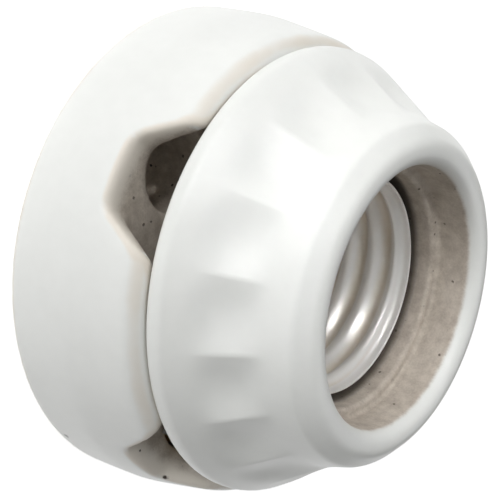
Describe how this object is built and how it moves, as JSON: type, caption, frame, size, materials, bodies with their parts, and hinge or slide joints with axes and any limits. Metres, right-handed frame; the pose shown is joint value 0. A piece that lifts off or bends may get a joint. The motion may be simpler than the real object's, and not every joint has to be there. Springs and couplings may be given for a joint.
{
  "type": "lamp holder",
  "caption": "Surface-mounted porcelain screw lamp holder: notched round base, fluted conical screw ring and rolled metal screw shell.",
  "frame": {"origin": "centre of the base's back face, on the lamp's axis", "axes": "+Z along the lamp's axis, out of the mouth; -Y towards the broad wall between two wire notches; X and Y are the lines midway between the notches"},
  "size_m": [0.061, 0.061, 0.035],
  "materials": {
    "porcelain": "glossy white glaze",
    "nickel_plate": "bright nickel plate",
    "contact_bronze": "spring bronze",
    "brass": "bare brass",
    "zinc_steel": "zinc plate",
    "sealing_compound": "dark poured compound"
  },
  "bodies": {
    "holder": {"porcelain_base": "porcelain", "screw_shell": "nickel_plate", "centre_contact": "contact_bronze", "shell_strip": "brass", "shell_terminal": "brass", "contact_terminal": "brass", "shell_screws": "zinc_steel", "spring_washers": "zinc_steel", "shell_nuts": "zinc_steel", "pillar_screws": "zinc_steel", "seal_plugs": "sealing_compound"},
    "ring": {"porcelain_ring": "porcelain"},
    "shell_washer": {"shell_clamp": "zinc_steel"},
    "shell_screw": {"shell_clamp_screw": "zinc_steel"},
    "contact_washer": {"contact_clamp": "zinc_steel"},
    "contact_screw": {"contact_clamp_screw": "zinc_steel"}
  },
  "joints": [
    {"name": "ring_lift", "type": "slide", "parent": "holder", "child": "ring", "axis": [0, 0, 1], "range_m": [0, 0.0075]},
    {"name": "shell_washer_rise", "type": "slide", "parent": "holder", "child": "shell_washer", "axis": [0, 0, 1], "range_m": [0, 0.0016]},
    {"name": "shell_screw_turn", "type": "hinge", "parent": "shell_washer", "child": "shell_screw", "pos_m": [-0.01577, 0.01309, 0.0141], "axis": [0, 0, 1], "range_deg": [0, 822.86]},
    {"name": "contact_washer_rise", "type": "slide", "parent": "holder", "child": "contact_washer", "axis": [0, 0, 1], "range_m": [0, 0.0016]},
    {"name": "contact_screw_turn", "type": "hinge", "parent": "contact_washer", "child": "contact_screw", "pos_m": [0.01577, -0.01309, 0.0141], "axis": [0, 0, 1], "range_deg": [0, 822.86]}
  ],
  "couplings": [
    {"joint": "shell_screw_turn", "follows": "shell_washer_rise", "rad_per_m": 8976},
    {"joint": "contact_screw_turn", "follows": "contact_washer_rise", "rad_per_m": 8976}
  ]
}
